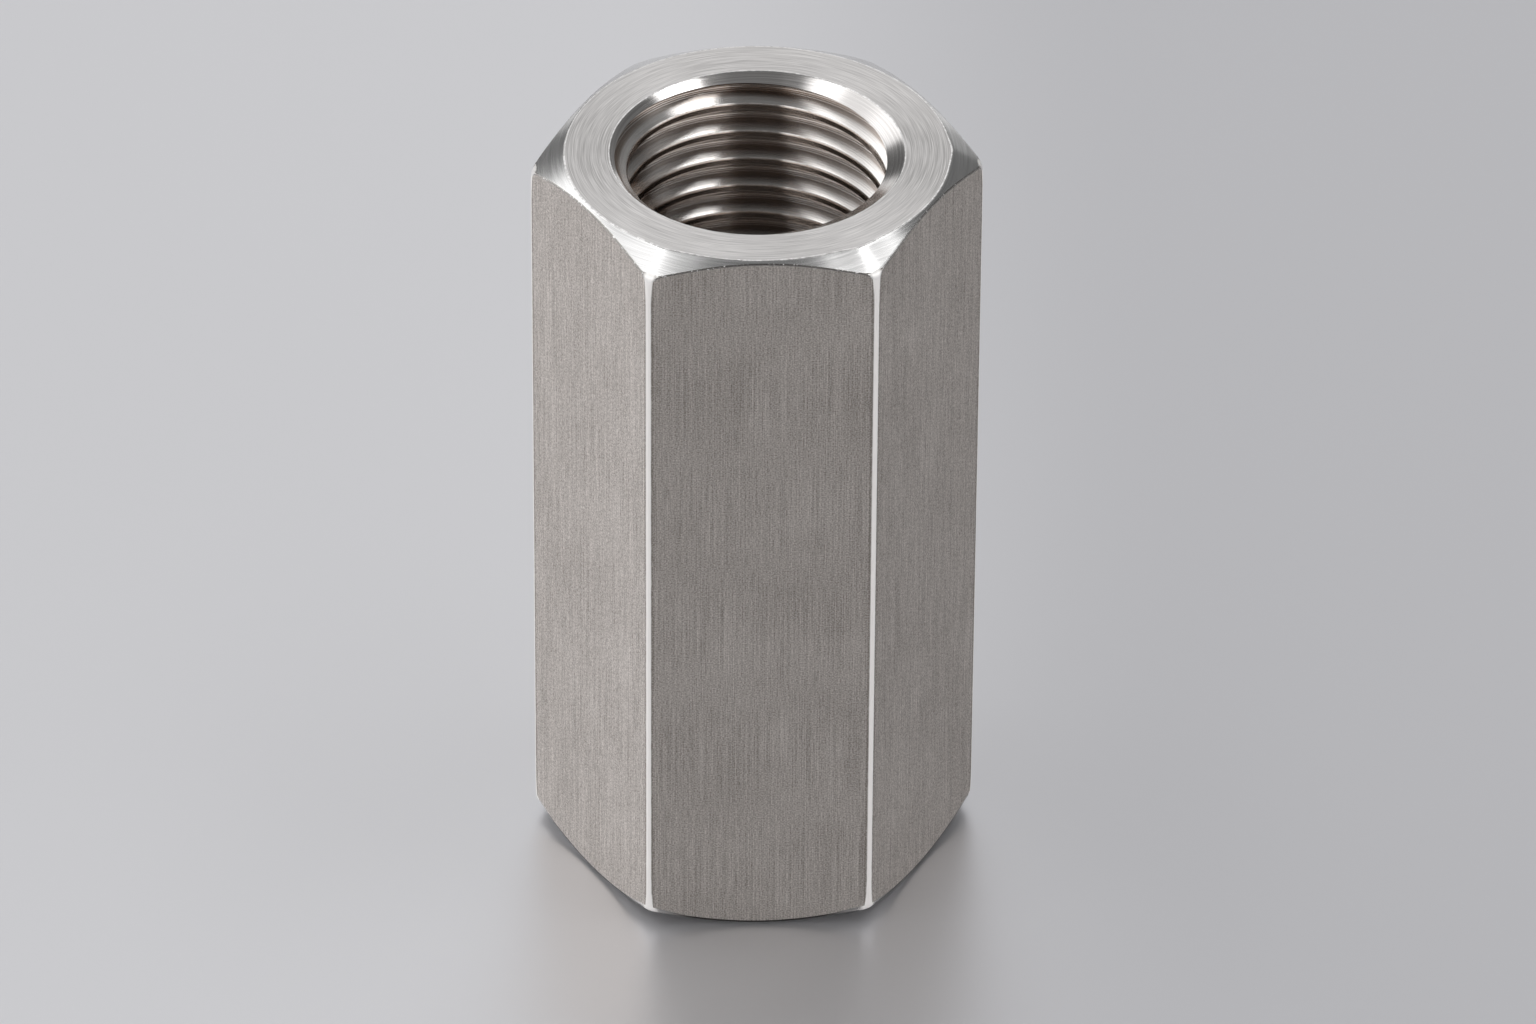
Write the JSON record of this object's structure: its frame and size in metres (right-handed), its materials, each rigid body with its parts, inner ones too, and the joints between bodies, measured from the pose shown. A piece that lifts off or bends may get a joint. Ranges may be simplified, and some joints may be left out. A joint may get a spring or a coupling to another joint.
{
  "type": "coupling nut",
  "caption": "Long hexagonal nut, threaded from end to end, that joins two threaded rods in line. Both ends are turned to a 30 degree cone and countersunk.",
  "frame": {"origin": "middle of the lower end face, on the bore's axis", "axes": "+Z along the bore towards the upper end; two flats face -Y and +Y, and two corners lie on the X axis"},
  "size_m": [0.0276, 0.024, 0.05],
  "materials": {
    "brushed_steel": "brushed along the bar on the flats, turned on the ends, bright in the thread"
  },
  "bodies": {
    "root": {"coupling_nut": "brushed_steel"}
  },
  "joints": []
}
